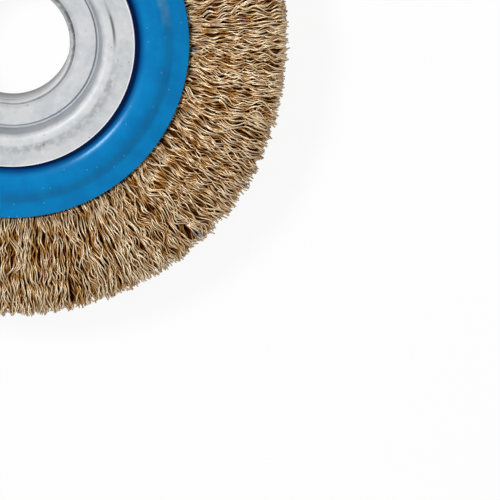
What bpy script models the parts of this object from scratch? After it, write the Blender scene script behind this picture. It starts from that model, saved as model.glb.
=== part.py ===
"""Crimped wire wheel brush for a bench grinder, lying on its side.

The wheel's axis is +Z. The origin is the middle of the bore, half way between the two faces.
Lengths are in metres. The front is the +Z side and the back is its mirror image.
"""

import math
import random

import bmesh
import bpy
from mathutils import Matrix

# Gap left between pieces that bear on each other.
CLEARANCE = 0.0003

# Hub, from the middle out to each side.
HUB_HALF_WIDTH = 0.0112
SPACER_HALF_WIDTH = 0.0023
SPACER_WALL = 0.0050

# Bore sleeve: a tube whose two ends are rolled outwards into a bead.
BORE_RADIUS = 0.0158
SLEEVE_WALL = 0.0007
LIP_STEPS = 4
LIP_END_ANGLE = math.radians(27)

# Hub flanges: pressed sheet, with a flat floor, a steep wall, a flat crown and a turned-down rim.
# Each bend is the radius on the inside of the bent sheet.
FLANGE_SHEET = 0.0009
FLANGE_WALL_RADIUS = 0.0264
FLANGE_WALL_DRAFT = 0.0010
FLANGE_CROWN_WIDTH = 0.0073
FLANGE_RIM_DEPTH = 0.0030
FLANGE_FOOT_BEND = 0.0012
FLANGE_CROWN_BEND = 0.0015
FLANGE_RIM_BEND = 0.0001

# Clamp rings: flat washers on the flanges' floors, under the sleeve's rolled ends.
CLAMP_RING_MARGIN = 0.0023
CLAMP_RING_THICKNESS = 0.0017
CLAMP_RING_BEVEL = 0.0002
CLAMP_RING_DISH_WIDTH = 0.0013

# Face plates: painted pressed sheet, with one raised bead round them.
PLATE_SHEET = 0.0010
BEAD_HEIGHT = 0.0018
BEAD_GAP = 0.0013
BEAD_RISE = 0.0019
BEAD_CREST = 0.0040
BEAD_FALL = 0.0025
BEAD_FILLET = 0.0018
PLATE_EDGE_WIDTH = 0.0052
PLATE_EDGE_DROP = 0.0006

# Retaining ring: a steel wire hoop that the brush wires are folded over.
RETAINING_RING_INSET = 0.0046
RETAINING_WIRE_RADIUS = 0.0017

# Gaps between the folds of wire, where the retaining ring shows from inside.
FOLD_GAPS = 12
FOLD_GAP_WIDTH = 0.0010
FOLD_GAP_HEIGHT = 0.0016

# Crimped wires: they flare out beyond the plates and are worn round at the rim.
OUTER_RADIUS = 0.0762
FILL_HALF_WIDTH = 0.0130
FLARE_SHARE = 0.55
RIM_SHOULDER = 0.0021
RIM_DOME = 0.0016
RIM_DOME_START = 0.75
ROOT_OVERLAP = 0.0022

# The wires stand in locks, with furrows between them. The shares are of a column's width.
LOCKS = 80
CRIMPS = 7
FURROW_DEPTH = 0.0020
FURROW_NOTCH = 0.0016
TIP_RAGGED = 0.0010
CRIMP_SHARE = 0.30
LEAN_SHARE = 0.12
LEAN_SEED = 11
RAGGED_SEED = 7

# Sides of the round pieces.
HUB_SIDES = 32
FLANGE_SIDES = 36
PLATE_SIDES = 36
ROOT_SIDES = 40
HOOP_SIDES = 32
HOOP_WIRE_SIDES = 6
SMOOTH_ANGLE = math.radians(35)

# What follows from the sizes above.
SLEEVE_RADIUS = BORE_RADIUS + SLEEVE_WALL
HUB_HOLE_RADIUS = SLEEVE_RADIUS + CLEARANCE
FLANGE_FLOOR_HEIGHT = SPACER_HALF_WIDTH + CLEARANCE + FLANGE_SHEET
FLANGE_FOOT_RADIUS = FLANGE_WALL_RADIUS - FLANGE_WALL_DRAFT
FLANGE_RADIUS = FLANGE_WALL_RADIUS + FLANGE_CROWN_WIDTH
CLAMP_RING_TOP = FLANGE_FLOOR_HEIGHT + CLEARANCE + CLAMP_RING_THICKNESS
CLAMP_RING_RADIUS = FLANGE_FOOT_RADIUS - CLAMP_RING_MARGIN
PLATE_HEIGHT = HUB_HALF_WIDTH - FLANGE_RIM_DEPTH - CLEARANCE
PLATE_HOLE_RADIUS = FLANGE_WALL_RADIUS + FLANGE_SHEET + CLEARANCE
PLATE_EDGE_HEIGHT = PLATE_HEIGHT - PLATE_EDGE_DROP
BEAD_START = FLANGE_RADIUS + BEAD_GAP
BEAD_END = BEAD_START + BEAD_RISE + BEAD_CREST + BEAD_FALL
PLATE_RADIUS = BEAD_END + PLATE_EDGE_WIDTH
RETAINING_RING_RADIUS = PLATE_HOLE_RADIUS + RETAINING_RING_INSET
WIRE_START_RADIUS = PLATE_RADIUS + CLEARANCE
WIRE_START_HEIGHT = PLATE_EDGE_HEIGHT - PLATE_SHEET - CLEARANCE
RIM_RADIUS = OUTER_RADIUS - RIM_SHOULDER
COLUMNS = 2 * LOCKS


def clear_scene():
    for old in list(bpy.data.objects):
        bpy.data.objects.remove(old, do_unlink=True)


def material(name, colour, metallic, roughness):
    made = bpy.data.materials.new(name)
    made.use_nodes = True
    shader = made.node_tree.nodes["Principled BSDF"]
    shader.inputs["Base Color"].default_value = (*colour, 1.0)
    shader.inputs["Metallic"].default_value = metallic
    shader.inputs["Roughness"].default_value = roughness
    return made


def add_object(name, shape, finish):
    """Turns a bmesh into an object of that name, with its faces pointing out."""
    bmesh.ops.recalc_face_normals(shape, faces=shape.faces)
    mesh = bpy.data.meshes.new(name)
    shape.to_mesh(mesh)
    shape.free()
    mesh.materials.append(finish)
    mesh.shade_smooth()
    mesh.set_sharp_from_angle(angle=SMOOTH_ANGLE)
    made = bpy.data.objects.new(name, mesh)
    bpy.context.scene.collection.objects.link(made)
    return made


def turned(name, outline, sides, finish):
    """A solid of revolution about Z from a closed outline of (radius, height) points."""
    shape = bmesh.new()
    corners = [shape.verts.new((radius, 0.0, height)) for radius, height in outline]
    edges = [shape.edges.new(pair) for pair in zip(corners, corners[1:] + corners[:1])]
    bmesh.ops.spin(
        shape,
        geom=corners + edges,
        cent=(0, 0, 0),
        axis=(0, 0, 1),
        angle=math.tau,
        steps=sides,
        use_merge=True,
    )
    return add_object(name, shape, finish)


def flipped(outline):
    """The same outline on the back of the wheel."""
    return [(radius, -height) for radius, height in outline]


def arc(centre, radius, start, end, steps):
    """Points along a circular arc, both ends included."""
    angles = [start + (end - start) * step / steps for step in range(steps + 1)]
    return [
        (centre[0] + radius * math.cos(angle), centre[1] + radius * math.sin(angle))
        for angle in angles
    ]


def direction(start, end):
    length = math.dist(start, end)
    return (end[0] - start[0]) / length, (end[1] - start[1]) / length


def filleted(corners, fillets, steps):
    """An open path through the corners, with each inner corner rounded to its own radius."""
    path = [corners[0]]
    for before, corner, after, fillet in zip(corners, corners[1:], corners[2:], fillets):
        into = direction(before, corner)
        out = direction(corner, after)
        across = into[0] * out[1] - into[1] * out[0]
        along = into[0] * out[0] + into[1] * out[1]
        turn = math.atan2(across, along)
        side = math.copysign(1.0, turn)
        room = min(math.dist(before, corner), math.dist(corner, after)) / 2
        radius = min(fillet, room / math.tan(abs(turn) / 2))
        back = radius * math.tan(abs(turn) / 2)
        first = (corner[0] - into[0] * back, corner[1] - into[1] * back)
        centre = (first[0] - into[1] * side * radius, first[1] + into[0] * side * radius)
        start = math.atan2(first[1] - centre[1], first[0] - centre[0])
        path += arc(centre, radius, start, start + turn, steps)
    return path + [corners[-1]]


def offset(path, distance):
    """The path moved sideways, to the right of its own direction, with mitred corners."""
    moved = []
    for index, point in enumerate(path):
        into = direction(path[max(index - 1, 0)], path[max(index, 1)])
        out = direction(path[min(index, len(path) - 2)], path[min(index + 1, len(path) - 1)])
        bend = 1 + into[0] * out[0] + into[1] * out[1]
        across = distance * (into[1] + out[1]) / bend
        along = distance * (into[0] + out[0]) / bend
        moved.append((point[0] + across, point[1] - along))
    return moved


def sleeve_outline():
    """The tube's wall, with each end curling outwards over a clamp ring."""
    lip_height = CLAMP_RING_TOP + CLEARANCE
    centre = (SLEEVE_RADIUS, lip_height - SLEEVE_WALL * math.sin(LIP_END_ANGLE))
    lip = arc(centre, SLEEVE_WALL, math.pi, LIP_END_ANGLE, LIP_STEPS)
    front = [*lip, (SLEEVE_RADIUS, lip_height)]
    return front + flipped(front[::-1])


def spacer_outline():
    """The ring that holds the two hub flanges apart."""
    outer = HUB_HOLE_RADIUS + SPACER_WALL
    return [
        (HUB_HOLE_RADIUS, -SPACER_HALF_WIDTH),
        (outer, -SPACER_HALF_WIDTH),
        (outer, SPACER_HALF_WIDTH),
        (HUB_HOLE_RADIUS, SPACER_HALF_WIDTH),
    ]


def flange_outline():
    """A pressed dish: floor, wall, crown and rim, all of one sheet."""
    corners = [
        (HUB_HOLE_RADIUS, FLANGE_FLOOR_HEIGHT),
        (FLANGE_FOOT_RADIUS, FLANGE_FLOOR_HEIGHT),
        (FLANGE_WALL_RADIUS, HUB_HALF_WIDTH),
        (FLANGE_RADIUS, HUB_HALF_WIDTH),
        (FLANGE_RADIUS, HUB_HALF_WIDTH - FLANGE_RIM_DEPTH),
    ]
    crown_fillet = FLANGE_CROWN_BEND + FLANGE_SHEET
    rim_fillet = FLANGE_RIM_BEND + FLANGE_SHEET
    outside = filleted(corners, (FLANGE_FOOT_BEND, crown_fillet, rim_fillet), 2)
    return outside + offset(outside, FLANGE_SHEET)[::-1]


def clamp_ring_outline():
    """A washer with a broken outer edge, dished where the sleeve's lip sits on it."""
    bottom = CLAMP_RING_TOP - CLAMP_RING_THICKNESS
    dished = CLAMP_RING_TOP - CLAMP_RING_BEVEL
    return [
        (HUB_HOLE_RADIUS, bottom),
        (CLAMP_RING_RADIUS, bottom),
        (CLAMP_RING_RADIUS, dished),
        (CLAMP_RING_RADIUS - CLAMP_RING_BEVEL, CLAMP_RING_TOP),
        (HUB_HOLE_RADIUS + CLAMP_RING_DISH_WIDTH, CLAMP_RING_TOP),
        (HUB_HOLE_RADIUS, dished),
    ]


def plate_corners():
    """The face plate's outside: a seat for the flange's rim, the bead and the edge band."""
    crest_start = BEAD_START + BEAD_RISE
    return [
        (PLATE_HOLE_RADIUS, PLATE_HEIGHT),
        (BEAD_START, PLATE_HEIGHT),
        (crest_start, PLATE_HEIGHT + BEAD_HEIGHT),
        (crest_start + BEAD_CREST, PLATE_HEIGHT + BEAD_HEIGHT),
        (BEAD_END, PLATE_HEIGHT),
        (PLATE_RADIUS, PLATE_EDGE_HEIGHT),
    ]


def plate_outline():
    outside = filleted(plate_corners(), 4 * (BEAD_FILLET,), 2)
    inside = offset(plate_corners(), PLATE_SHEET)
    return outside + inside[::-1]


def root_outline():
    """The wires where they are clamped: they fill the space between the face plates."""
    front = offset(plate_corners(), PLATE_SHEET + CLEARANCE)
    return front + flipped(front[::-1])


def hoop_outline(radius):
    centre = (RETAINING_RING_RADIUS, 0.0)
    return arc(centre, radius, 0.0, math.tau, HOOP_WIRE_SIDES)[:-1]


def half_width(radius):
    """Half the thickness of the wires at that radius, beyond the plates."""
    share = (radius - WIRE_START_RADIUS) / (RIM_RADIUS - WIRE_START_RADIUS)
    flare = math.sin(math.pi / 2 * min(1.0, share / FLARE_SHARE))
    dome = max(0.0, (share - RIM_DOME_START) / (1 - RIM_DOME_START))
    spread = FILL_HALF_WIDTH - WIRE_START_HEIGHT
    return WIRE_START_HEIGHT + spread * flare - RIM_DOME * dome**2


def crimped_face(furrow):
    """(radius, height, swing) at each crimp of one column, from the plates out to the rim."""
    points = []
    for crimp in range(CRIMPS):
        share = crimp / (CRIMPS - 1)
        radius = WIRE_START_RADIUS + (RIM_RADIUS - WIRE_START_RADIUS) * share
        depth = FURROW_DEPTH * furrow * min(1.0, crimp / 2)
        swing = CRIMP_SHARE * (-1) ** crimp if crimp else 0.0
        points.append((radius - FURROW_NOTCH * furrow * share, half_width(radius) - depth, swing))
    return points


def column_points(furrow, shortfall):
    """One column of the wires as a closed loop: front face, tip, back face and buried root."""
    front = crimped_face(furrow)
    back = [(radius, -height, swing) for radius, height, swing in reversed(front)]
    tip = (OUTER_RADIUS - FURROW_NOTCH * furrow - shortfall, 0.0, 0.0)
    root_radius = PLATE_RADIUS - ROOT_OVERLAP
    root_height = WIRE_START_HEIGHT / 2
    return [(root_radius, root_height, 0.0), *front, tip, *back, (root_radius, -root_height, 0.0)]


def shortfalls():
    """How far each column stops short of the full radius. Those on the X and Y axes reach it."""
    draw = random.Random(RAGGED_SEED)
    quarter = COLUMNS // 4
    return [draw.uniform(0.0, TIP_RAGGED) if column % quarter else 0.0 for column in range(COLUMNS)]


def locks_shape():
    """A ring of crimped locks: even columns are their crests, odd ones the furrows between."""
    draw = random.Random(LEAN_SEED)
    shape = bmesh.new()
    loops = []
    for column, shortfall in enumerate(shortfalls()):
        lean = draw.uniform(-LEAN_SHARE, LEAN_SHARE)
        loop = []
        for radius, height, swing in column_points(column % 2, shortfall):
            sway = swing + lean if swing else 0.0
            angle = math.tau * (column + sway) / COLUMNS
            place = (radius * math.cos(angle), radius * math.sin(angle), height)
            loop.append(shape.verts.new(place))
        loops.append(loop)
    for here, there in zip(loops, loops[1:] + loops[:1]):
        for row in range(len(here)):
            below = (row + 1) % len(here)
            shape.faces.new((here[row], here[below], there[below], there[row]))
    return shape


def fold_gaps_shape():
    """Short radial slots from the fill's inner wall to the retaining ring."""
    shape = bmesh.new()
    length = RETAINING_RING_INSET + FOLD_GAP_WIDTH
    size = (length, FOLD_GAP_WIDTH, FOLD_GAP_HEIGHT)
    for gap in range(FOLD_GAPS):
        block = bmesh.ops.create_cube(shape, size=1.0)["verts"]
        bmesh.ops.scale(shape, verts=block, vec=size)
        bmesh.ops.translate(shape, verts=block, vec=(RETAINING_RING_RADIUS - length / 2, 0, 0))
        turn = Matrix.Rotation(math.tau * (gap + 0.5) / FOLD_GAPS, 3, "Z")
        bmesh.ops.rotate(shape, verts=block, cent=(0, 0, 0), matrix=turn)
    return shape


def boolean(target, tool, operation):
    tool.hide_render = True
    tool.display_type = "WIRE"
    cut = target.modifiers.new(tool.name, "BOOLEAN")
    cut.operation = operation
    cut.solver = "EXACT"
    cut.object = tool


def build_wires(wire):
    """The whole fill: locks outside, a clamped root, and a tunnel for the retaining ring."""
    fill = add_object("wire_fill", locks_shape(), wire)
    tunnel = hoop_outline(RETAINING_WIRE_RADIUS + CLEARANCE)
    boolean(fill, turned("fill_root", root_outline(), ROOT_SIDES, wire), "UNION")
    boolean(fill, turned("hoop_tunnel", tunnel, HOOP_SIDES, wire), "DIFFERENCE")
    boolean(fill, add_object("fold_gaps", fold_gaps_shape(), wire), "DIFFERENCE")


def main():
    clear_scene()
    zinc = material("zinc_plated_steel", (0.62, 0.63, 0.65), 1.0, 0.42)
    bare = material("bare_steel", (0.38, 0.37, 0.36), 1.0, 0.45)
    paint = material("blue_paint", (0.0, 0.20, 0.48), 0.0, 0.25)
    wire = material("brass_coated_wire", (0.42, 0.27, 0.12), 1.0, 0.38)
    turned("bore_sleeve", sleeve_outline(), HUB_SIDES, zinc)
    turned("spacer_ring", spacer_outline(), HUB_SIDES, bare)
    turned("hub_flange_front", flange_outline(), FLANGE_SIDES, zinc)
    turned("hub_flange_back", flipped(flange_outline()), FLANGE_SIDES, zinc)
    turned("clamp_ring_front", clamp_ring_outline(), HUB_SIDES, zinc)
    turned("clamp_ring_back", flipped(clamp_ring_outline()), HUB_SIDES, zinc)
    turned("face_plate_front", plate_outline(), PLATE_SIDES, paint)
    turned("face_plate_back", flipped(plate_outline()), PLATE_SIDES, paint)
    turned("retaining_ring", hoop_outline(RETAINING_WIRE_RADIUS), HOOP_SIDES, bare)
    build_wires(wire)


main()
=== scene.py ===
"""Looks of the crimped wire wheel: finishes, turned hub pieces and single brush wires.

Sizes are in metres and angles in radians."""

import math

import bmesh
import bpy
import numpy as np
from mathutils import Matrix, Vector


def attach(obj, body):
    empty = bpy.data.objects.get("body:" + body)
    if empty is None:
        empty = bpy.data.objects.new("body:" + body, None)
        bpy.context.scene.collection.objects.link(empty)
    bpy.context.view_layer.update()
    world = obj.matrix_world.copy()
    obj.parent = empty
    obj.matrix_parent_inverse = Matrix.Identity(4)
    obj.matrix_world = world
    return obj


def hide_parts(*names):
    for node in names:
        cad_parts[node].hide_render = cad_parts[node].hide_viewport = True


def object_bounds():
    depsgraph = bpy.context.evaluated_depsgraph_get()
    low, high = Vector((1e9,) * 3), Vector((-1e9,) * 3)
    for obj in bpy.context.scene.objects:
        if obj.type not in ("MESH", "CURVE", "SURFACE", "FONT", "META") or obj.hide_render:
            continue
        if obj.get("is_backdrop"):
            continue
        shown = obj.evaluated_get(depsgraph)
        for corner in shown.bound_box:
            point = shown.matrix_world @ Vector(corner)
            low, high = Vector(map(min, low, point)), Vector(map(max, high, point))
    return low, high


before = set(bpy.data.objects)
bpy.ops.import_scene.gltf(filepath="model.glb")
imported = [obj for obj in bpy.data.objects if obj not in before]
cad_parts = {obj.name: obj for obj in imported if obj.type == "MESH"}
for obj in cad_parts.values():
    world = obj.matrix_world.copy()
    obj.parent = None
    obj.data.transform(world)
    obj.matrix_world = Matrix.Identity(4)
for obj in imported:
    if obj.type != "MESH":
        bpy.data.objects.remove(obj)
cad_low, cad_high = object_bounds()

# Stage: a white table under the wheel, seen through the bore and past the wires.
# Part of what the camera sees of it is its own light, so the wheel's shadow on it stays faint.
TABLE_SIZE = 6.0
TABLE_COLOUR = "#FAFAFA"
TABLE_GLOW = 0.92
WHITE = "#FFFFFF"


def linear(hex_colour):
    """Linear RGBA of an sRGB colour written as #RRGGBB."""
    shares = [int(hex_colour[place : place + 2], 16) / 255 for place in (1, 3, 5)]
    levels = [share / 12.92 if share <= 0.04045 else ((share + 0.055) / 1.055) ** 2.4 for share in shares]
    return levels + [1.0]


def add_node(tree, kind, sockets=None, **settings):
    """Adds a node with its settings. A socket gets a value, or a link if it is given another socket."""
    node = tree.nodes.new(kind)
    for name, value in settings.items():
        setattr(node, name, value)
    for name, value in (sockets or {}).items():
        if isinstance(value, bpy.types.NodeSocket):
            tree.links.new(value, node.inputs[name])
        else:
            node.inputs[name].default_value = value
    return node


def new_material(name):
    """An empty material, its tree, and the output that its shader goes to."""
    material = bpy.data.materials.new(name)
    material.use_nodes = True
    material.node_tree.nodes.clear()
    output = material.node_tree.nodes.new("ShaderNodeOutputMaterial")
    return material, material.node_tree, output


def add_seen(tree):
    """1 for what the camera sees by itself or in metal or glass, and 0 for what lights the object."""
    rays = add_node(tree, "ShaderNodeLightPath").outputs
    straight = {0: rays["Is Camera Ray"], 1: rays["Is Glossy Ray"]}
    mirrored = add_node(tree, "ShaderNodeMath", straight, operation="MAXIMUM")
    through = {0: mirrored.outputs[0], 1: rays["Is Transmission Ray"]}
    return add_node(tree, "ShaderNodeMath", through, operation="MAXIMUM").outputs[0]


# White card is matt and even, so nothing on it draws the eye from the wheel.
card, tree, output = new_material("white_card")
matt = add_node(tree, "ShaderNodeBsdfDiffuse", {"Color": linear(TABLE_COLOUR)})
glow = add_node(tree, "ShaderNodeEmission", {"Color": linear(WHITE), "Strength": 1.0})
share = add_node(tree, "ShaderNodeMath", {0: add_seen(tree), 1: TABLE_GLOW}, operation="MULTIPLY")
seen = add_node(tree, "ShaderNodeMixShader", {0: share.outputs[0], 1: matt.outputs[0], 2: glow.outputs[0]})
tree.links.new(seen.outputs[0], output.inputs["Surface"])

shape = bmesh.new()
bmesh.ops.create_grid(shape, x_segments=1, y_segments=1, size=TABLE_SIZE / 2)
bmesh.ops.translate(shape, verts=shape.verts, vec=(0, 0, cad_low.z))
mesh = bpy.data.meshes.new("table")
shape.to_mesh(mesh)
shape.free()
mesh.materials.append(card)
table = bpy.data.objects.new("table", mesh)
bpy.context.scene.collection.objects.link(table)
table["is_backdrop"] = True

# Light: a white room, and one round lamp high on the upper left.
# The lamp draws the bright streak on the blue bead and the shade under the flange's rim.
ROOM_STRENGTH = 0.36
LAMP_POWER = 9.0
LAMP_SIZE = 0.25
LAMP_DISTANCE = 1.1
LAMP_ELEVATION = math.radians(58)
LAMP_AZIMUTH = math.radians(146)

world = bpy.data.worlds.new("room")
bpy.context.scene.world = world
world.use_nodes = True
tree = world.node_tree
tree.nodes.clear()
brightness = {"Value": add_seen(tree), "To Min": ROOM_STRENGTH, "To Max": 1.0}
level = add_node(tree, "ShaderNodeMapRange", brightness)
room = add_node(tree, "ShaderNodeBackground", {"Color": linear(WHITE), "Strength": level.outputs[0]})
output = add_node(tree, "ShaderNodeOutputWorld", {"Surface": room.outputs[0]})

lamp = bpy.data.lights.new("lamp", "AREA")
lamp.shape = "DISK"
lamp.size = LAMP_SIZE
lamp.energy = LAMP_POWER
lamp_object = bpy.data.objects.new("lamp", lamp)
away = Vector((math.cos(LAMP_AZIMUTH), math.sin(LAMP_AZIMUTH), 0)) * math.cos(LAMP_ELEVATION)
away.z = math.sin(LAMP_ELEVATION)
lamp_object.location = away * LAMP_DISTANCE
lamp_object.rotation_euler = away.to_track_quat("Z", "Y").to_euler()
bpy.context.scene.collection.objects.link(lamp_object)

# Camera: it looks down on the wheel, which lies in the upper left corner of the picture.
# It leans in from the wheel's far side, so that a raised ring shows a little lower than the rim.
PHOTO_SIZE = 500
HUB_PIXEL = (13.5, 39.2)
PIXELS_PER_METRE = 3626
VIEW_LEAN = (0.0215, 0.160)
CAMERA_HEIGHT = 3.0

camera = bpy.data.cameras.new("camera")
camera_object = bpy.data.objects.new("camera", camera)
bpy.context.scene.collection.objects.link(camera_object)
bpy.context.scene.camera = camera_object
right = (PHOTO_SIZE / 2 - HUB_PIXEL[0]) / PIXELS_PER_METRE
down = (PHOTO_SIZE / 2 - HUB_PIXEL[1]) / PIXELS_PER_METRE
eye = Vector((VIEW_LEAN[0], VIEW_LEAN[1], 1)) * CAMERA_HEIGHT
sight = Vector((right * math.hypot(1, VIEW_LEAN[0]), -down * math.hypot(1, VIEW_LEAN[1]), 0)) - eye
camera_object.location = eye
back = -sight.normalized()
side = Vector((0, 1, 0)).cross(back).normalized()
camera_object.rotation_euler = Matrix((side, back.cross(side), back)).transposed().to_euler()
camera.lens = camera.sensor_width * sight.length * PIXELS_PER_METRE / PHOTO_SIZE
bpy.context.scene.view_settings.view_transform = "Standard"

# Bore sleeve: a drawn steel tube, zinc plated, that lines the bore.
# Both ends are rolled outwards over the clamp rings, and the roll is polished by the tool.
SLEEVE_WALL = 0.0007
SLEEVE_ROLL = 0.0004
SLEEVE_STEP = 0.00025
SLEEVE_STEP_DEPTH = 0.0011
SLEEVE_EDGE_ROUND = 0.0001
LIP_CREST = (0.01645, 0.0168)
LIP_ROUND = (0.0002, 0.0003)
LIP_SLOPE = 0.0004
LIP_GAP = 0.0001
BACK_LIP_ROUND = 0.00025
SIDES = 192
ROUND_STEPS = 5
SMOOTH_ANGLE = math.radians(35)

ZINC_LIGHT = "#C8C9CB"
ZINC_DARK = "#BABDC0"
# Grey of the groove: painted shade.
ZINC_GROOVE_SHADE = "#87919A"
# Dark of rubs and scuffs, also painted as shade round the lip's seam.
ZINC_RUB_AND_SHADE = "#6C6E70"
# Bright of polish and grain, also used as painted highlight on the rim edge and in the bore.
ZINC_POLISH_AND_HIGHLIGHT = "#F2F3F4"
# Brownish grey painted as shade in the bore and on the lip's crest.
ZINC_PAINTED_SHADE = "#77706B"
ZINC_SOOT = "#4A4C50"
ZINC_METAL = 0.3
ZINC_ROUGHNESS = (0.53, 0.63)

CLOUD_SIZE = 0.006
CLOUD_DETAIL = 6.0
CLOUD_TONE = (0.35, 0.65)
CLOUD_DULL = (0.3, 0.7)
GRAIN_SIZE = 0.0016
GRAIN_DETAIL = 5.0
GRAIN_DARK = (0.50, 0.72)
GRAIN_DARK_STRENGTH = 0.10
GRAIN_BRIGHT = (0.48, 0.28)
GRAIN_BRIGHT_STRENGTH = 0.14
GRAIN_BUMP = 0.12
GRAIN_HEIGHT = 0.0001
SPECK_SIZE = 0.0009
SPECK_LEVEL = (0.81, 0.85)
SPECK_STRENGTH = 0.45

# A band is four radii or heights, and an arc four angles from +X: a mark on the plating grows over
# the first two and fades over the last two.
# Painted shade on the groove's floor and wall.
GROOVE_SHADE_BAND = (0.0229, 0.0231, 0.0246, 0.0250)
GROOVE_SHADE_STRENGTH = 0.45
# Painted highlight along the flange's rim edge, partly rubbed wear.
EDGE_HIGHLIGHT_BAND = (0.0333, 0.0335, 0.0340, 0.0350)
EDGE_HIGHLIGHT_STRENGTH = 1.0
# Painted shade: a soft dark band round the seam of the sleeve's lip.
SEAM_SHADE_BAND = (0.0172, 0.0175, 0.0177, 0.0187)
SEAM_SHADE_STRENGTH = 0.22
BORE_WALL = (0.0163, 0.0165)
# Painted shade: the bore wall darker towards its bottom.
BORE_SHADE_HEIGHT = (0.0045, -0.0060)
BORE_SHADE_STRENGTH = 0.85
# Painted highlight: a bright line round the bore wall.
BORE_GLINT = (0.0030, 0.0034, 0.0038, 0.0042)
BORE_GLINT_STRENGTH = 1.0
# Painted shade that dims the highlight on the lip's crest.
LIP_SHADE_RADIUS = (0.0163, 0.0168)
LIP_SHADE_HEIGHT = (0.0054, 0.0058)
LIP_SHADE_STRENGTH = 0.3

# The marks that the photograph shows on the plating are only on the front, torn and worn by the noise.
FRONT_HEIGHT = (-0.001, 0.001)
TORN_LEVEL = (0.3, 0.55)
WORN_LEVEL = (0.40, 0.56)
LEAST_MARK = 0.35
LIP_BAND = (0.0162, 0.0166, 0.0171, 0.0174)
LIP_ARC = (-0.55, -0.10, 1.20, 1.60)
# Darker on the lip's outer slope over one arc, broken by the grain.
LIP_DARK_ARC_STRENGTH = 0.85
STREAK_BAND = (0.0276, 0.0281, 0.0282, 0.0289)
STREAK_ARC = (-0.12, 0.15, 0.38, 0.52)
STREAK_STRENGTH = 0.9
SMUDGE_BAND = (0.0276, 0.0284, 0.0290, 0.0314)
SMUDGE_ARC = (-2.4, -1.2, -0.45, 0.0)
SMUDGE_STRENGTH = 0.50

MIX_SHARE, MIX_FIRST, MIX_SECOND = 0, 6, 7
MIX_COLOUR = 2


def turned_size(node):
    """Inner radius, outer radius, lowest and highest point of a turned CAD node."""
    points = [vert.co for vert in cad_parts[node].data.vertices]
    radii = [math.hypot(point.x, point.y) for point in points]
    heights = [point.z for point in points]
    return min(radii), max(radii), min(heights), max(heights)


def turned_piece(name, corners, finish, side=1):
    """Turns a closed outline about Z. A corner is (radius, height, how far its rounding reaches)."""
    shape = bmesh.new()
    ring = [shape.verts.new((radius, 0, side * height)) for radius, height, _ in corners]
    for pair in zip(ring, ring[1:] + ring[:1]):
        shape.edges.new(pair)
    for vert, (_, _, reach) in zip(ring, corners):
        if reach:
            bmesh.ops.bevel(
                shape,
                geom=[vert],
                offset=reach,
                offset_type="OFFSET",
                affect="VERTICES",
                segments=ROUND_STEPS,
                profile=0.5,
                material=-1,
            )
    bmesh.ops.spin(
        shape,
        geom=shape.verts[:] + shape.edges[:],
        cent=(0, 0, 0),
        axis=(0, 0, 1),
        angle=math.tau,
        steps=SIDES,
        use_merge=True,
    )
    bmesh.ops.recalc_face_normals(shape, faces=shape.faces)
    mesh = bpy.data.meshes.new(name)
    shape.to_mesh(mesh)
    shape.free()
    mesh.shade_smooth()
    mesh.set_sharp_from_angle(angle=SMOOTH_ANGLE)
    mesh.materials.append(finish)
    piece = bpy.data.objects.new(name, mesh)
    bpy.context.scene.collection.objects.link(piece)
    flats = piece.modifiers.new("flats", "WEIGHTED_NORMAL")
    flats.keep_sharp = True
    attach(piece, "root")
    return piece


def add_wheel_places(tree):
    """A surface point, its distance from the wheel's axis, its angle round it from +X, and its height."""
    point = add_node(tree, "ShaderNodeTexCoord").outputs["Object"]
    across = add_node(tree, "ShaderNodeVectorMath", {0: point, 1: (1.0, 1.0, 0.0)}, operation="MULTIPLY")
    radius = add_node(tree, "ShaderNodeVectorMath", {0: across.outputs[0]}, operation="LENGTH")
    axes = add_node(tree, "ShaderNodeSeparateXYZ", {"Vector": point}).outputs
    angle = add_node(tree, "ShaderNodeMath", {0: axes["Y"], 1: axes["X"]}, operation="ARCTAN2")
    return point, radius.outputs["Value"], angle.outputs[0], axes["Z"]


def within(value, band):
    """Two fades of a stain: in between the band's first two values, and out between its last two."""
    return (value, band[0], band[1], 0.0, 1.0), (value, band[2], band[3], 1.0, 0.0)


def add_stain(tree, colour, stain, amount, *fades):
    """A colour stained by another one.

    Each fade is (value, low, high, share at low, share at high), and the stain is thinned by all."""
    for value, low, high, at_low, at_high in fades:
        ends = {"From Min": low, "From Max": high, "To Min": at_low, "To Max": at_high}
        fade = add_node(tree, "ShaderNodeMapRange", {"Value": value, **ends}, interpolation_type="SMOOTHSTEP")
        thinned = add_node(tree, "ShaderNodeMath", {0: amount, 1: fade.outputs[0]}, operation="MULTIPLY")
        amount = thinned.outputs[0]
    sockets = {MIX_SHARE: amount, MIX_FIRST: colour, MIX_SECOND: linear(stain)}
    return add_node(tree, "ShaderNodeMix", sockets, data_type="RGBA").outputs[MIX_COLOUR]


# Zinc plate is a soft dull silver, cloudy and finely grained, and painted darker in the pressed groove as
# shade.
# Its rim edge has a painted highlight, partly rubbed bright, its bore a painted shade, and the front has
# scuffs and a dark streak.
zinc, tree, output = new_material("zinc_plated_steel")
place, radius, angle, height = add_wheel_places(tree)
cloud = add_node(
    tree, "ShaderNodeTexNoise", {"Vector": place, "Scale": 1 / CLOUD_SIZE, "Detail": CLOUD_DETAIL}
).outputs["Fac"]
grain = add_node(
    tree, "ShaderNodeTexNoise", {"Vector": place, "Scale": 1 / GRAIN_SIZE, "Detail": GRAIN_DETAIL}
).outputs["Fac"]
specks = add_node(
    tree, "ShaderNodeTexNoise", {"Vector": place, "Scale": 1 / SPECK_SIZE, "Detail": 0.0}
).outputs["Fac"]
front = (height, *FRONT_HEIGHT, 0.0, 1.0)
torn = (cloud, *TORN_LEVEL, LEAST_MARK, 1.0)
worn = (grain, *WORN_LEVEL, LEAST_MARK, 1.0)
in_bore = (radius, *BORE_WALL, 1.0, 0.0)
on_lip = [(radius, *LIP_SHADE_RADIUS, 1.0, 0.0), (height, *LIP_SHADE_HEIGHT, 0.0, 1.0)]
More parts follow.
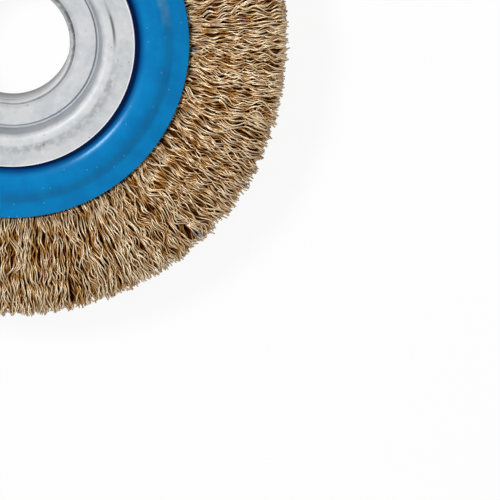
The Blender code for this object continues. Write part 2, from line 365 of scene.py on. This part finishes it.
lip_arc = [*within(radius, LIP_BAND), *within(angle, LIP_ARC)]
streak_arc = [*within(radius, STREAK_BAND), *within(angle, STREAK_ARC)]
smudge_arc = [*within(radius, SMUDGE_BAND), *within(angle, SMUDGE_ARC)]
plate = add_stain(tree, linear(ZINC_DARK), ZINC_LIGHT, 1.0, (cloud, *CLOUD_TONE, 0.0, 1.0))
for stain, amount, fades in (
    (ZINC_RUB_AND_SHADE, GRAIN_DARK_STRENGTH, [(grain, *GRAIN_DARK, 0.0, 1.0)]),
    (ZINC_POLISH_AND_HIGHLIGHT, GRAIN_BRIGHT_STRENGTH, [(grain, *GRAIN_BRIGHT, 0.0, 1.0)]),
    # Painted shade on the groove's floor and wall.
    (ZINC_GROOVE_SHADE, GROOVE_SHADE_STRENGTH, within(radius, GROOVE_SHADE_BAND)),
    # Painted highlight along the rim edge, partly rubbed wear.
    (ZINC_POLISH_AND_HIGHLIGHT, EDGE_HIGHLIGHT_STRENGTH, within(radius, EDGE_HIGHLIGHT_BAND)),
    # Painted shade: a soft dark band round the seam of the sleeve's lip.
    (ZINC_RUB_AND_SHADE, SEAM_SHADE_STRENGTH, within(radius, SEAM_SHADE_BAND)),
    # Darker on the lip's outer slope over one arc, broken by the grain.
    (ZINC_RUB_AND_SHADE, LIP_DARK_ARC_STRENGTH, [front, worn, *lip_arc]),
    # Painted shade: the bore wall darker towards its bottom.
    (ZINC_PAINTED_SHADE, BORE_SHADE_STRENGTH, [in_bore, (height, *BORE_SHADE_HEIGHT, 0.0, 1.0)]),
    # Painted highlight: a bright line round the bore wall.
    (ZINC_POLISH_AND_HIGHLIGHT, BORE_GLINT_STRENGTH, [in_bore, *within(height, BORE_GLINT)]),
    # Painted shade that dims the highlight on the lip's crest.
    (ZINC_PAINTED_SHADE, LIP_SHADE_STRENGTH, on_lip),
    (ZINC_SOOT, STREAK_STRENGTH, [front, torn, *streak_arc]),
    (ZINC_RUB_AND_SHADE, SMUDGE_STRENGTH, [front, torn, worn, *smudge_arc]),
    (ZINC_SOOT, SPECK_STRENGTH, [(specks, *SPECK_LEVEL, 0.0, 1.0)]),
):
    plate = add_stain(tree, plate, stain, amount, *fades)
dull_patches = {
    "Value": cloud,
    "From Min": CLOUD_DULL[0],
    "From Max": CLOUD_DULL[1],
    "To Min": ZINC_ROUGHNESS[0],
    "To Max": ZINC_ROUGHNESS[1],
}
dull = add_node(tree, "ShaderNodeMapRange", dull_patches, interpolation_type="SMOOTHSTEP")
bump = add_node(tree, "ShaderNodeBump", {"Height": grain, "Strength": GRAIN_BUMP, "Distance": GRAIN_HEIGHT})
shader = add_node(
    tree,
    "ShaderNodeBsdfPrincipled",
    {"Base Color": plate, "Metallic": ZINC_METAL, "Roughness": dull.outputs[0], "Normal": bump.outputs[0]},
)
tree.links.new(shader.outputs[0], output.inputs["Surface"])

bore, lip_edge, _, lip_top = turned_size("bore_sleeve")
_, _, _, ring_top = turned_size("clamp_ring_front")
lip_under = ring_top + LIP_GAP
tube = bore + SLEEVE_STEP
front_end = [
    (tube, lip_top - SLEEVE_STEP_DEPTH, 0),
    (bore, lip_top - SLEEVE_STEP_DEPTH, SLEEVE_EDGE_ROUND),
    (bore, lip_top - LIP_SLOPE, SLEEVE_EDGE_ROUND),
    (LIP_CREST[0], lip_top, LIP_ROUND[0]),
    (LIP_CREST[1], lip_top, LIP_ROUND[1]),
    (lip_edge + LIP_GAP, lip_under + LIP_GAP / 2, 0),
    (lip_edge + LIP_GAP, lip_under, 0),
    (tube + SLEEVE_WALL, lip_under, 0),
]
back_end = [
    (tube + SLEEVE_WALL, -lip_under, 0),
    (lip_edge, -lip_under, 0),
    (lip_edge, -lip_top, BACK_LIP_ROUND),
    (tube, -lip_top, SLEEVE_ROLL),
]
sleeve = turned_piece("rolled_sleeve", front_end + back_end, zinc)
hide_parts("bore_sleeve")

# Clamp rings: flat zinc plated washers under the sleeve's rolled ends.
# Each is blanked from strip, so its outer edge is crisp and catches the light.
RING_SHEET = 0.0007
RING_EDGE_ROUND = 0.0003
RING_DISH = 0.0013
RING_DISH_DEPTH = 0.0002

for face, side in (("front", 1), ("back", -1)):
    hole, edge, low, high = turned_size(f"clamp_ring_{face}")
    top = max(abs(low), abs(high))
    bottom = top - RING_SHEET
    washer = turned_piece(
        f"clamp_washer_{face}",
        [
            (hole, bottom, 0),
            (edge, bottom, 0),
            (edge, top, RING_EDGE_ROUND),
            (hole + RING_DISH, top, 0),
            (hole, top - RING_DISH_DEPTH, 0),
        ],
        zinc,
        side,
    )
    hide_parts(f"clamp_ring_{face}")

# Hub flanges: dishes pressed from steel sheet and zinc plated.
# The crown is flat, its inner shoulder is broad and soft, and the rim is turned down on the blue plate.
FLANGE_SHEET = 0.0009
FLANGE_FLOOR_DEPTH = 0.0007
FLANGE_RIM_DEPTH = 0.0030
FLANGE_RIM_ROUND = 0.0002
# Corners of the wall, from the floor up: radius, rise, and how far the rounding reaches.
FLANGE_PRESSING = (
    (0.0239, 0.0, 0.0003),
    (0.0246, 0.0052, 0.0005),
    (0.0254, 0.0064, 0.0008),
    (0.0270, 0.0067, 0.0010),
)

for face, side in (("front", 1), ("back", -1)):
    hole, edge, low, high = turned_size(f"hub_flange_{face}")
    crown = max(abs(low), abs(high))
    floor = ring_top - FLANGE_FLOOR_DEPTH
    lift = (crown - floor) / FLANGE_PRESSING[-1][1]
    wall = [(radius, floor + rise * lift, cut) for radius, rise, cut in FLANGE_PRESSING]
    above = [(hole, floor, 0)] + wall
    above += [(edge, crown, FLANGE_RIM_ROUND), (edge, crown - FLANGE_RIM_DEPTH, 0)]
    inner_edge = edge - FLANGE_SHEET
    below = [(inner_edge, crown - FLANGE_RIM_DEPTH, 0), (inner_edge, crown - FLANGE_SHEET, 0)]
    below += [(radius + FLANGE_SHEET, height - FLANGE_SHEET, 0) for radius, height, _ in reversed(wall)]
    below += [(hole, floor - FLANGE_SHEET, 0)]
    dish = turned_piece(f"dished_flange_{face}", above + below, zinc, side)
    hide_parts(f"hub_flange_{face}")

# Face plates: pressed steel rings with one raised bead, stove enamelled blue.
# The hub flanges press them against each other, and they clamp the wires.
PLATE_SHEET = 0.0010
PLATE_EDGE_DROP = 0.0006
PLATE_EDGE_ROUND = 0.0002
BEAD_HEIGHT = 0.0018
# Corners of the bead, from the bore outwards: radius, rise, and how far the rounding reaches.
BEAD = (
    (0.0345, 0.0, 0.0006),
    (0.0358, 0.0010, 0.0006),
    (0.0372, 0.0015, 0.0006),
    (0.0394, BEAD_HEIGHT, 0.0008),
    (0.0415, 0.0017, 0.0012),
    (0.0443, 0.0, 0.0005),
)
BLUE = "#0080C0"
BLUE_DULL = "#0076B6"
# Deep navy: painted shade next to the flange's rim.
BLUE_PAINTED_SHADE = "#00105C"
BLUE_CHALK = "#5E9FC4"
BLUE_CHIP = "#8FC4DE"
BLUE_SHEEN = "#B4E4FF"
BLUE_GLOSS = 0.20
BLUE_ROUGHNESS = 0.22
ENAMEL_CLOUD = 0.005
ENAMEL_CLOUD_DETAIL = 5.0
ENAMEL_TONE = (0.35, 0.65)
ENAMEL_WAVE = 0.003
ENAMEL_WAVE_DETAIL = 2.0
ENAMEL_WAVE_BUMP = 0.1
ENAMEL_WAVE_HEIGHT = 0.0002
SMEAR_LEVEL = (0.35, 0.6)
SMEAR_BAND = (0.0410, 0.0421, 0.0436, 0.0446)
SMEAR_ARC = (0.05, 0.20, 0.40, 0.60)
SMEAR_STRENGTH = 0.4
CHIP_SPACING = 0.0045
CHIP_RADIUS = (0.000085, 0.000255)
CHIP_SHARE = (0.35, 0.45)
CHIP_STRENGTH = 0.35
# Painted shade in the crevice at the flange's rim, fading outwards.
PAINTED_SHADE_RADIUS = (0.0341, 0.0374)
PAINTED_SHADE_STRENGTH = 0.95

# Stoving enamel is glossy and a little wavy, so its reflections are bright and not quite straight.
# It is flecked with tiny pale chips, has a chalky smear, and is painted deep navy next to the flange's rim as
# shade.
enamel, tree, output = new_material("blue_stoving_enamel")
place, radius, angle, height = add_wheel_places(tree)
patch = add_node(
    tree, "ShaderNodeTexNoise", {"Vector": place, "Scale": 1 / ENAMEL_CLOUD, "Detail": ENAMEL_CLOUD_DETAIL}
).outputs["Fac"]
wave = add_node(
    tree, "ShaderNodeTexNoise", {"Vector": place, "Scale": 1 / ENAMEL_WAVE, "Detail": ENAMEL_WAVE_DETAIL}
).outputs["Fac"]
cells = add_node(
    tree, "ShaderNodeTexVoronoi", {"Vector": place, "Scale": 1 / CHIP_SPACING}, voronoi_dimensions="2D"
).outputs
chip_edge = [reach / CHIP_SPACING for reach in CHIP_RADIUS]
paint = add_stain(tree, linear(BLUE_DULL), BLUE, 1.0, (patch, *ENAMEL_TONE, 0.0, 1.0))
smear = [(patch, *SMEAR_LEVEL, 0.0, 1.0), (height, *FRONT_HEIGHT, 0.0, 1.0)]
smear += within(radius, SMEAR_BAND) + within(angle, SMEAR_ARC)
chips = [(cells["Distance"], *chip_edge, 1.0, 0.0), (cells["Color"], *CHIP_SHARE, 1.0, 0.0)]
paint = add_stain(tree, paint, BLUE_CHALK, SMEAR_STRENGTH, *smear)
paint = add_stain(tree, paint, BLUE_CHIP, CHIP_STRENGTH, *chips)
# Painted shade in the crevice at the flange's rim.
paint = add_stain(tree, paint, BLUE_PAINTED_SHADE, PAINTED_SHADE_STRENGTH, (radius, *PAINTED_SHADE_RADIUS, 1.0, 0.0))
bump = add_node(
    tree, "ShaderNodeBump", {"Height": wave, "Strength": ENAMEL_WAVE_BUMP, "Distance": ENAMEL_WAVE_HEIGHT}
)
shader = add_node(
    tree,
    "ShaderNodeBsdfPrincipled",
    {
        "Base Color": paint,
        "Roughness": BLUE_ROUGHNESS,
        "Specular IOR Level": BLUE_GLOSS,
        "Specular Tint": linear(BLUE_SHEEN),
        "Normal": bump.outputs[0],
    },
)
tree.links.new(shader.outputs[0], output.inputs["Surface"])

for face, side in (("front", 1), ("back", -1)):
    hole, edge, low, high = turned_size(f"face_plate_{face}")
    seat = max(abs(low), abs(high)) - BEAD_HEIGHT
    outside = [(hole, seat, 0)]
    outside += [(radius, seat + height, cut) for radius, height, cut in BEAD]
    outside += [(edge, seat - PLATE_EDGE_DROP, PLATE_EDGE_ROUND)]
    inside = [(radius, height - PLATE_SHEET, 0) for radius, height, _ in reversed(outside)]
    pressed = turned_piece(f"blue_plate_{face}", outside + inside, enamel, side)
    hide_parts(f"face_plate_{face}")

# Spacer ring and retaining ring: a steel tube between the hub flanges, and a hoop of steel wire.
# The brush wires are folded over the hoop. Both are seen only when the wheel is taken apart.
STEEL = "#8E8B88"
STEEL_STREAK = 0.0008
STEEL_ROUGHNESS = (0.3, 0.5)

# Drawn steel is plain grey, with a gloss that changes from spot to spot where the die dragged on it.
# The marks are drawn 0.8 mm long, because the real ones are too fine to show.
steel, tree, output = new_material("drawn_steel")
place = add_node(tree, "ShaderNodeTexCoord").outputs["Object"]
streak = add_node(tree, "ShaderNodeTexNoise", {"Vector": place, "Scale": 1 / STEEL_STREAK}).outputs["Fac"]
drag_marks = {"Value": streak, "To Min": STEEL_ROUGHNESS[0], "To Max": STEEL_ROUGHNESS[1]}
rough = add_node(tree, "ShaderNodeMapRange", drag_marks)
metal = {"Base Color": linear(STEEL), "Metallic": 1.0, "Roughness": rough.outputs[0]}
shader = add_node(tree, "ShaderNodeBsdfPrincipled", metal)
tree.links.new(shader.outputs[0], output.inputs["Surface"])
for name in ("spacer_ring", "retaining_ring"):
    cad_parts[name].material_slots[0].material = steel

# Wire core: the mass of folded wires under those that show.
# It fills the space between the face plates and wraps round the retaining ring.
CORE_DEPTH = 0.0026
CORE_SHARE = 0.77
CORE_NECK = 0.003
CORE_STEPS = 8
HOOP_GAP = 0.0002
HOOP_TURN = 165
HOOP_STEPS = 12
ROOT_GAP = 0.0003
FLARE_SHARE = 0.55
DOME = 0.0012
DOME_START = 0.75
RIM_SHOULDER = 0.0021
WIRE_MIDDLE = 0.062
# Browns of the deep wire mass: painted shade.
CORE_DARK = "#260C00"
CORE_LIGHT = "#60300E"
CORE_TIPS = "#A98756"
CORE_GLOSS = 0.05
CORE_ROUGHNESS = 0.8
STRAND_WIDTH = 0.0006
STRAND_LENGTH = 0.004
STRAND_DETAIL = 2.0
STRAND_LEVEL = (0.45, 0.62)
CUT_END_SPACING = 0.0007
CUT_END_EDGE = (0.30, 0.42)
CUT_END_DEPTH = (0.0004, 0.0001)

fill_inner, fill_radius, _, fill_half = turned_size("wire_fill")
_, plate_radius, plate_under, plate_top = turned_size("face_plate_front")
hoop_inner, hoop_outer, _, hoop_half = turned_size("retaining_ring")
start_radius = plate_radius + ROOT_GAP
start_height = plate_under - ROOT_GAP
shoulder_radius = fill_radius - RIM_SHOULDER
core_rim = fill_radius - CORE_DEPTH


def half_width(radius):
    """Half the thickness of the wires at a radius beyond the plates."""
    share = np.clip((radius - start_radius) / (shoulder_radius - start_radius), 0, None)
    flare = np.sin(np.pi / 2 * np.minimum(1, share / FLARE_SHARE))
    dome = np.clip((share - DOME_START) / (1 - DOME_START), 0, None)
    return start_height + (fill_half - start_height) * flare - DOME * dome**2


# Wire deep in the brush gets little light, so its dull dark brown without gloss is painted shade.
# Faint strands run outwards in it, and the cut ends of wires show on it as paler dots at the rim.
core_steel, tree, output = new_material("shaded_wire_mass")
place, radius, angle, height = add_wheel_places(tree)
along = add_node(tree, "ShaderNodeCombineXYZ", {"X": radius, "Y": angle}).outputs[0]
strand_scale = (1 / STRAND_LENGTH, WIRE_MIDDLE / STRAND_WIDTH, 0.0)
along = add_node(tree, "ShaderNodeVectorMath", {0: along, 1: strand_scale}, operation="MULTIPLY").outputs[0]
strands = add_node(
    tree, "ShaderNodeTexNoise", {"Vector": along, "Scale": 1.0, "Detail": STRAND_DETAIL}
).outputs["Fac"]
tone = add_stain(tree, linear(CORE_DARK), CORE_LIGHT, 1.0, (strands, *STRAND_LEVEL, 0.0, 1.0))
around = add_node(tree, "ShaderNodeCombineXYZ", {"X": angle, "Y": height}).outputs[0]
end_scale = (fill_radius / CUT_END_SPACING, 1 / CUT_END_SPACING, 0.0)
around = add_node(tree, "ShaderNodeVectorMath", {0: around, 1: end_scale}, operation="MULTIPLY").outputs[0]
dots = add_node(
    tree, "ShaderNodeTexVoronoi", {"Vector": around, "Scale": 1.0}, voronoi_dimensions="2D"
).outputs["Distance"]
at_rim = (radius, core_rim - CUT_END_DEPTH[0], core_rim - CUT_END_DEPTH[1], 0.0, 1.0)
tone = add_stain(tree, tone, CORE_TIPS, 1.0, at_rim, (dots, *CUT_END_EDGE, 1.0, 0.0))
dusty = {"Base Color": tone, "Roughness": CORE_ROUGHNESS, "Specular IOR Level": CORE_GLOSS}
shader = add_node(tree, "ShaderNodeBsdfPrincipled", dusty)
tree.links.new(shader.outputs[0], output.inputs["Surface"])

seat_height = plate_top - BEAD_HEIGHT - PLATE_SHEET - ROOT_GAP
core_front = [(fill_inner, seat_height, 0), (plate_radius - CORE_NECK, start_height, 0)]
for radius in np.linspace(start_radius, core_rim, CORE_STEPS):
    core_front.append((float(radius), float(half_width(radius)) * CORE_SHARE, 0))
core_back = [(radius, -height, cut) for radius, height, cut in core_front]
hoop_middle = (hoop_inner + hoop_outer) / 2
tunnel = hoop_half + HOOP_GAP
turns = np.radians(np.linspace(HOOP_TURN, -HOOP_TURN, HOOP_STEPS))
keyhole = [(hoop_middle + tunnel * math.cos(turn), tunnel * math.sin(turn), 0) for turn in turns]
keyhole = [(fill_inner, keyhole[0][1], 0)] + keyhole + [(fill_inner, keyhole[-1][1], 0)]
core = turned_piece("wire_core", core_front[::-1] + keyhole + core_back, core_steel)
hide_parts("wire_fill")

# Brush wires: crimped steel wire with a thin coat of brass, folded over the retaining ring.
# They lie in bundles that nest in step, lean and cross.
# They are drawn thicker and fewer than the real 0.3 mm ones, so that they show.

# What is OF_BUNDLE is shared by the wires of one bundle, and what is OF_WIRE differs between them.
# A pair is the least and the greatest factor or length, and a single one is a spread about the mean.
WIRE_RADIUS = 0.00022
WIRE_SIDES = 3
WIRE_SPACING = 0.00072
SPACING_SCATTER = 0.00016
CRIMP_LENGTH = 0.0054
CRIMP_LENGTH_OF_BUNDLE = (0.85, 1.2)
CRIMP_LENGTH_OF_WIRE = (0.96, 1.04)
CRIMP_HEIGHT = 0.00058
CRIMP_HEIGHT_OF_BUNDLE = (0.7, 1.3)
CRIMP_HEIGHT_OF_WIRE = (0.8, 1.2)
CRIMP_SHIFT = 0.65
CRIMP_TILT = (0.70, 1.25)
CRIMP_TILT_SCATTER = 0.25
CRIMP_DRIFT = 0.6
CRIMP_DRIFT_LENGTH = 0.013
SLANTS = 60
SLANT = 0.075
LEAN_OF_BUNDLE = 0.03
LEAN_OF_WIRE = 0.05
SWAY_OF_BUNDLE = 0.0006
SWAY_OF_WIRE = 0.0002
SWAY_LENGTH = (0.011, 0.024)
DEPTH_SCATTER = 0.0002
TUFTS = 700
TUFT_HEIGHT = 0.00040
TIP_DROP = 0.0007
TIP_STEP = 0.0005
TIP_STEP_DEPTH = 0.003
TIP_OF_BUNDLE = 0.0002
TIP_OF_WIRE = 0.0004
PROUD_TIP = 0.0004
PROUD_SHARE = 0.08
# Painted light and shade: wires lighter on top, outwards and at their tips, darker deeper down.
LIGHT_AT_TOP = 1.10
LIGHT_OUTWARDS = 0.14
SHADE_DEPTH = 0.0021
TINT_SCATTER = 0.12
TIP_LIGHT_DEPTH = 0.0009
TIP_LIGHT_SLOPE = 0.6
# The ramp's light and dark ends are lit and shaded copies of the brass: painted light and shade.
BRASS_LIT = "#F2E0C0"
BRASS_MIDDLE = "#AC7A36"
BRASS_MIDDLE_TINT = 0.45
BRASS_SHADED = "#521800"
BRASS_METAL = 0.5
BRASS_ROUGHNESS = 0.42
BRASS_GLOSS = 0.12
BARE_STEEL = "#7E868E"
BARE_PATCH = 0.006
BARE_DETAIL = 2.0
BARE_LEVEL = (0.66, 0.72)
BARE_STRENGTH = 0.8

# Brass coat on steel is a warm straw colour, painted lighter on top of the brush, outwards and at the tips.
# Painted shade turns it to brown further down, and it is grey where the coat is worn through.
# Each wire's painted light level says how near the surface it is, from 0 for deep to 1 for on top, with a
# random tone.
brass, tree, output = new_material("brass_coated_wire")
painted_light_and_tone = add_node(tree, "ShaderNodeAttribute", attribute_name="painted_light_and_tone").outputs["Fac"]
tone = add_node(tree, "ShaderNodeValToRGB", {"Fac": painted_light_and_tone})
ramp = tone.color_ramp.elements
ramp[0].color = linear(BRASS_SHADED)
ramp[1].color = linear(BRASS_LIT)
middle = ramp.new(BRASS_MIDDLE_TINT)
middle.color = linear(BRASS_MIDDLE)
place = add_node(tree, "ShaderNodeTexCoord").outputs["Object"]
patch = add_node(
    tree, "ShaderNodeTexNoise", {"Vector": place, "Scale": 1 / BARE_PATCH, "Detail": BARE_DETAIL}
).outputs["Fac"]
bare = add_node(tree, "ShaderNodeMath", {0: painted_light_and_tone, 1: BARE_STRENGTH}, operation="MULTIPLY").outputs[0]
coat = add_stain(tree, tone.outputs["Color"], BARE_STEEL, bare, (patch, *BARE_LEVEL, 0.0, 1.0))
shader = add_node(
    tree,
    "ShaderNodeBsdfPrincipled",
    {
        "Base Color": coat,
        "Metallic": BRASS_METAL,
        "Roughness": BRASS_ROUGHNESS,
        "Specular IOR Level": BRASS_GLOSS,
    },
)
tree.links.new(shader.outputs[0], output.inputs["Surface"])

section = bpy.data.curves.new("wire_section", "CURVE")
section.dimensions = "2D"
spline = section.splines.new("POLY")
spline.points.add(WIRE_SIDES - 1)
for turn, point in enumerate(spline.points):
    angle = math.tau * turn / WIRE_SIDES
    point.co = (WIRE_RADIUS * math.cos(angle), WIRE_RADIUS * math.sin(angle), 0, 1)
spline.use_cyclic_u = True
section_object = bpy.data.objects.new("wire_section", section)
bpy.context.scene.collection.objects.link(section_object)


def waver(turns, values):
    """Values spread evenly round the wheel, read at the given angles."""
    ring = np.append(values, values[0])
    return np.interp(turns % math.tau, np.linspace(0, math.tau, len(ring)), ring)


def wire_paths(middles, depths, side, each, points, start):
    """Paths of crimped wires as (wire, point, xyz) and the painted light and tone at each point.

    Each bundle has an angle and a depth under the brush's surface. Side is 1 or -1."""
    bundles = len(middles)
    wires = np.repeat(np.arange(bundles), each)
    count = bundles * each
    place = np.tile(np.arange(each) - (each - 1) / 2, bundles) * WIRE_SPACING
    place += draw.normal(0, SPACING_SCATTER, count)
    middle = middles[wires]
    lean = waver(middle, slants) + draw.normal(0, LEAN_OF_BUNDLE, bundles)[wires]
    lean += draw.normal(0, LEAN_OF_WIRE, count)
    sway = draw.normal(0, SWAY_OF_BUNDLE, bundles)[wires] + draw.normal(0, SWAY_OF_WIRE, count)
    sway_length = draw.uniform(*SWAY_LENGTH, bundles)[wires]
    sway_phase = draw.uniform(0, math.tau, bundles)[wires]
    crimp_length = (CRIMP_LENGTH * draw.uniform(*CRIMP_LENGTH_OF_BUNDLE, bundles))[wires]
    crimp_length *= draw.uniform(*CRIMP_LENGTH_OF_WIRE, count)
    crimp_height = (CRIMP_HEIGHT * draw.uniform(*CRIMP_HEIGHT_OF_BUNDLE, bundles))[wires]
    crimp_height *= draw.uniform(*CRIMP_HEIGHT_OF_WIRE, count)
    crimp_phase = draw.uniform(0, math.tau, bundles)[wires] + draw.normal(0, CRIMP_SHIFT, count)
    tilt = (draw.uniform(*CRIMP_TILT, bundles) * draw.choice((-1, 1), bundles))[wires]
    tilt += draw.normal(0, CRIMP_TILT_SCATTER, count)
    depth = depths[wires] + np.abs(draw.normal(0, DEPTH_SCATTER, count))
    tip = fill_radius - TIP_DROP - TIP_STEP * np.minimum(1, depth / TIP_STEP_DEPTH)
    tip -= np.abs(draw.normal(0, TIP_OF_WIRE, count))
    tip += draw.normal(0, TIP_OF_BUNDLE, bundles)[wires]
    tip += PROUD_TIP * (draw.uniform(0, 1, count) < PROUD_SHARE)
    end = middle + (place + lean * (fill_radius - WIRE_MIDDLE)) / fill_radius
    tip += waver(end, tufts)

    radius = start + (tip[:, None] - start) * np.linspace(0, 1, points)[None, :]
    run = radius - start_radius
    swing = math.tau * run / crimp_length[:, None] + crimp_phase[:, None]
    swing += CRIMP_DRIFT * np.sin(math.tau * run / CRIMP_DRIFT_LENGTH + 2 * sway_phase[:, None])
    sideways = place[:, None] * radius / WIRE_MIDDLE + lean[:, None] * (radius - WIRE_MIDDLE)
    sideways += sway[:, None] * np.sin(math.tau * run / sway_length[:, None] + sway_phase[:, None])
    sideways += (crimp_height * np.cos(tilt))[:, None] * np.sin(swing)
    turn = middle[:, None] + sideways / radius
    surface = half_width(radius)
    below = depth[:, None] * surface / fill_half
    below += WIRE_RADIUS + (crimp_height * np.abs(np.sin(tilt)))[:, None]
    below -= (crimp_height * np.sin(tilt))[:, None] * np.sin(swing)
    height = side * (surface - below)
    outwards = np.clip(run / (fill_radius - start_radius), 0, 1)
    # Painted shade by depth under the surface, with painted light at the tips and outwards.
    shaded = np.minimum(below, TIP_LIGHT_SLOPE * (tip[:, None] - radius) + TIP_LIGHT_DEPTH)
    painted_light_and_tone = LIGHT_AT_TOP + LIGHT_OUTWARDS * outwards - shaded / SHADE_DEPTH
    painted_light_and_tone += draw.normal(0, TINT_SCATTER, count)[:, None]
    paths = np.stack((radius * np.cos(turn), radius * np.sin(turn), height), axis=2)
    return paths, np.clip(painted_light_and_tone, 0, 1)


def wire_piece(name, paths, painted_lights_and_tones):
    """One mesh of closed wires, one along each path, with the painted light and tone at each point."""
    points = paths.shape[1]
    lines = bpy.data.curves.new(name, "CURVE")
    lines.dimensions = "3D"
    lines.bevel_mode = "OBJECT"
    lines.bevel_object = section_object
    weights = np.ones((points, 1))
    for path in paths:
        spline = lines.splines.new("POLY")
        spline.points.add(points - 1)
        spline.points.foreach_set("co", np.hstack((path, weights)).ravel())
    holder = bpy.data.objects.new(name + "_lines", lines)
    bpy.context.scene.collection.objects.link(holder)
    mesh = bpy.data.meshes.new_from_object(holder.evaluated_get(bpy.context.evaluated_depsgraph_get()))
    mesh.name = name
    bpy.data.objects.remove(holder)
    painted_light_and_tone = mesh.attributes.new("painted_light_and_tone", "FLOAT", "POINT")
    painted_light_and_tone.data.foreach_set("value", np.repeat(painted_lights_and_tones.ravel(), WIRE_SIDES).astype(np.float32))
    shape = bmesh.new()
    shape.from_mesh(mesh)
    bmesh.ops.holes_fill(shape, edges=shape.edges, sides=WIRE_SIDES)
    bmesh.ops.recalc_face_normals(shape, faces=shape.faces)
    shape.to_mesh(mesh)
    shape.free()
    mesh.materials.clear()
    mesh.materials.append(brass)
    mesh.shade_smooth()
    piece = bpy.data.objects.new(name, mesh)
    bpy.context.scene.collection.objects.link(piece)
    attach(piece, "root")
    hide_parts("wire_fill")


SEED = 5
draw = np.random.default_rng(SEED)
tufts = draw.normal(0, TUFT_HEIGHT, TUFTS)
slants = draw.normal(0, SLANT, SLANTS)

# The wires of the two faces lie in layers. Each has its least and greatest depth, its bundles round
# the wheel, the points along one wire, and the radius where its wires start.
FACE_BUNDLE = 4
BUNDLE_SHIFT = 0.25
WIRE_TUCK = 0.002
BACK_POINTS = 0.7
LAYERS = (
    (0.0000, 0.0004, 140, 33, plate_radius - WIRE_TUCK),
    (0.0004, 0.0010, 150, 32, plate_radius - WIRE_TUCK),
    (0.0010, 0.0020, 150, 25, plate_radius - WIRE_TUCK),
    (0.0001, 0.0009, 110, 18, WIRE_MIDDLE - WIRE_TUCK),
)
for face, side, detail in (("front", 1, 1.0), ("back", -1, BACK_POINTS)):
    for layer, (low, high, bundles, points, start) in enumerate(LAYERS):
        depths = draw.uniform(low, high, bundles)
        shifts = draw.uniform(-BUNDLE_SHIFT, BUNDLE_SHIFT, bundles)
        middles = (np.arange(bundles) + shifts) * math.tau / bundles
        paths, painted_lights_and_tones = wire_paths(middles, depths, side, FACE_BUNDLE, round(points * detail), start)
        wire_piece(f"{face}_wires_{layer + 1}", paths, painted_lights_and_tones)

# The rim shows only the worn ends of short bundles, spread over its whole width.
RIM_BUNDLES = 1100
RIM_BUNDLE = 3
RIM_POINTS = 5
RIM_REACH = 0.007
RIM_SHARE = 0.97
for part, side in enumerate((1, -1)):
    depths = draw.uniform(0, RIM_SHARE, RIM_BUNDLES) * fill_half
    middles = draw.uniform(0, math.tau, RIM_BUNDLES)
    paths, painted_lights_and_tones = wire_paths(middles, depths, side, RIM_BUNDLE, RIM_POINTS, fill_radius - RIM_REACH)
    wire_piece(f"rim_wires_{part + 1}", paths, painted_lights_and_tones)
bpy.data.objects.remove(section_object)

# Sizes: the box of the finished model; the box of the CAD model was taken at the start.
# The wires' tips and crimps are what stands furthest out in the finished one.
low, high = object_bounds()
